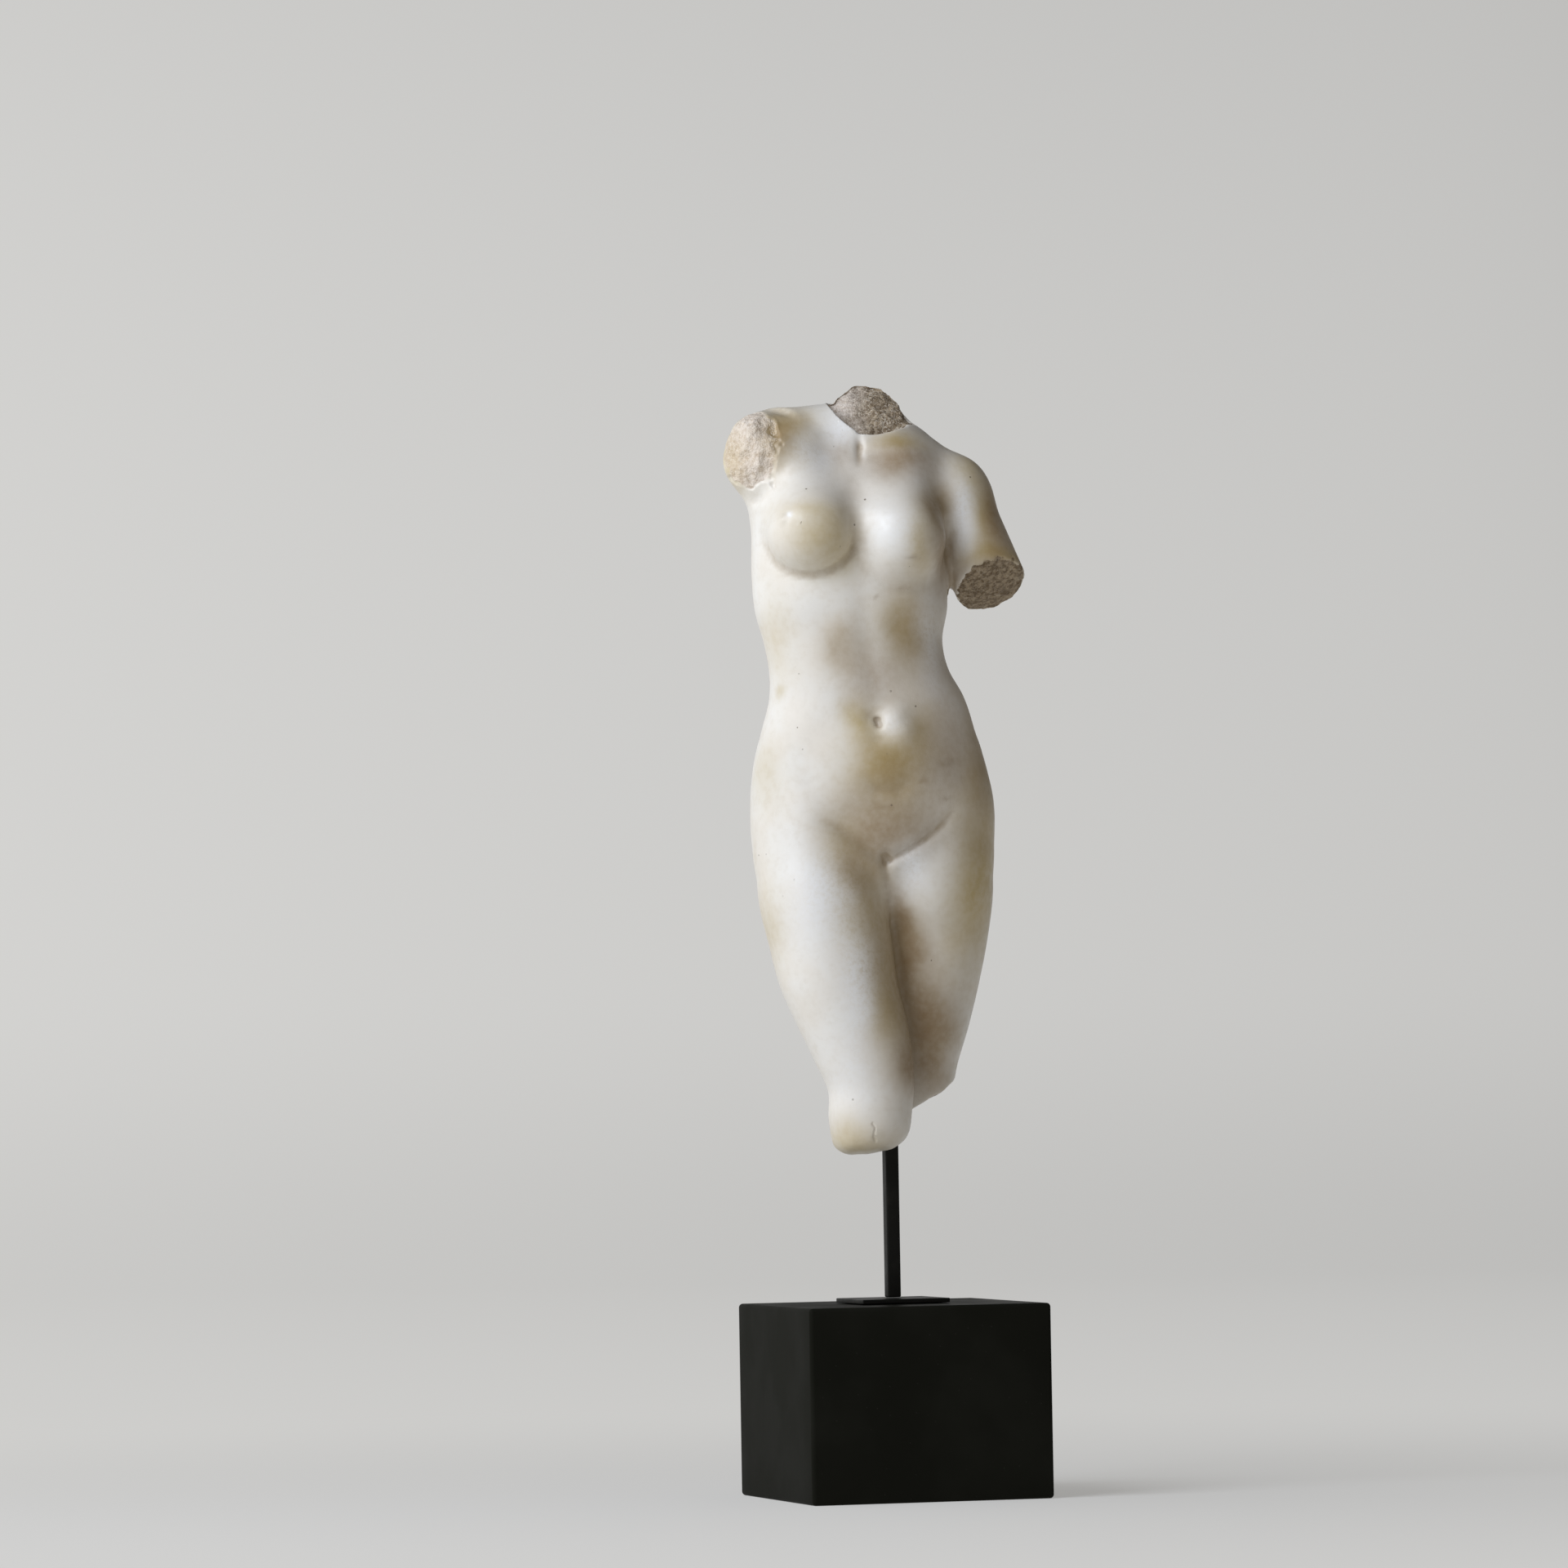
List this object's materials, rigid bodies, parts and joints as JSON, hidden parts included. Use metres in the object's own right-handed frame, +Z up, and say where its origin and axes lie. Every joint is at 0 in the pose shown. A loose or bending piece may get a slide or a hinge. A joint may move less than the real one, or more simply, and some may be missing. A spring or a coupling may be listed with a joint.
{
  "type": "torso statuette on stand",
  "caption": "Broken classical torso in ivory cast stone, held up by a square black rod that stands on a thin plate on a square black block.",
  "frame": {"origin": "middle of the base block's underside, which stands on the table", "axes": "+Z up, -Y out of the block's front face, +X to the viewer's right; the torso is turned a little towards -X"},
  "size_m": [0.132, 0.1113, 0.4929],
  "materials": {
    "cast_stone": "ivory cast stone, smooth and satin, with ochre and olive stains; rough where it is broken",
    "black_metal": "satin black paint on steel",
    "black_block": "satin black lacquer on wood"
  },
  "bodies": {
    "root": {"torso": "cast_stone", "support_rod": "black_metal", "mounting_plate": "black_metal", "base_block": "black_block"}
  },
  "joints": []
}
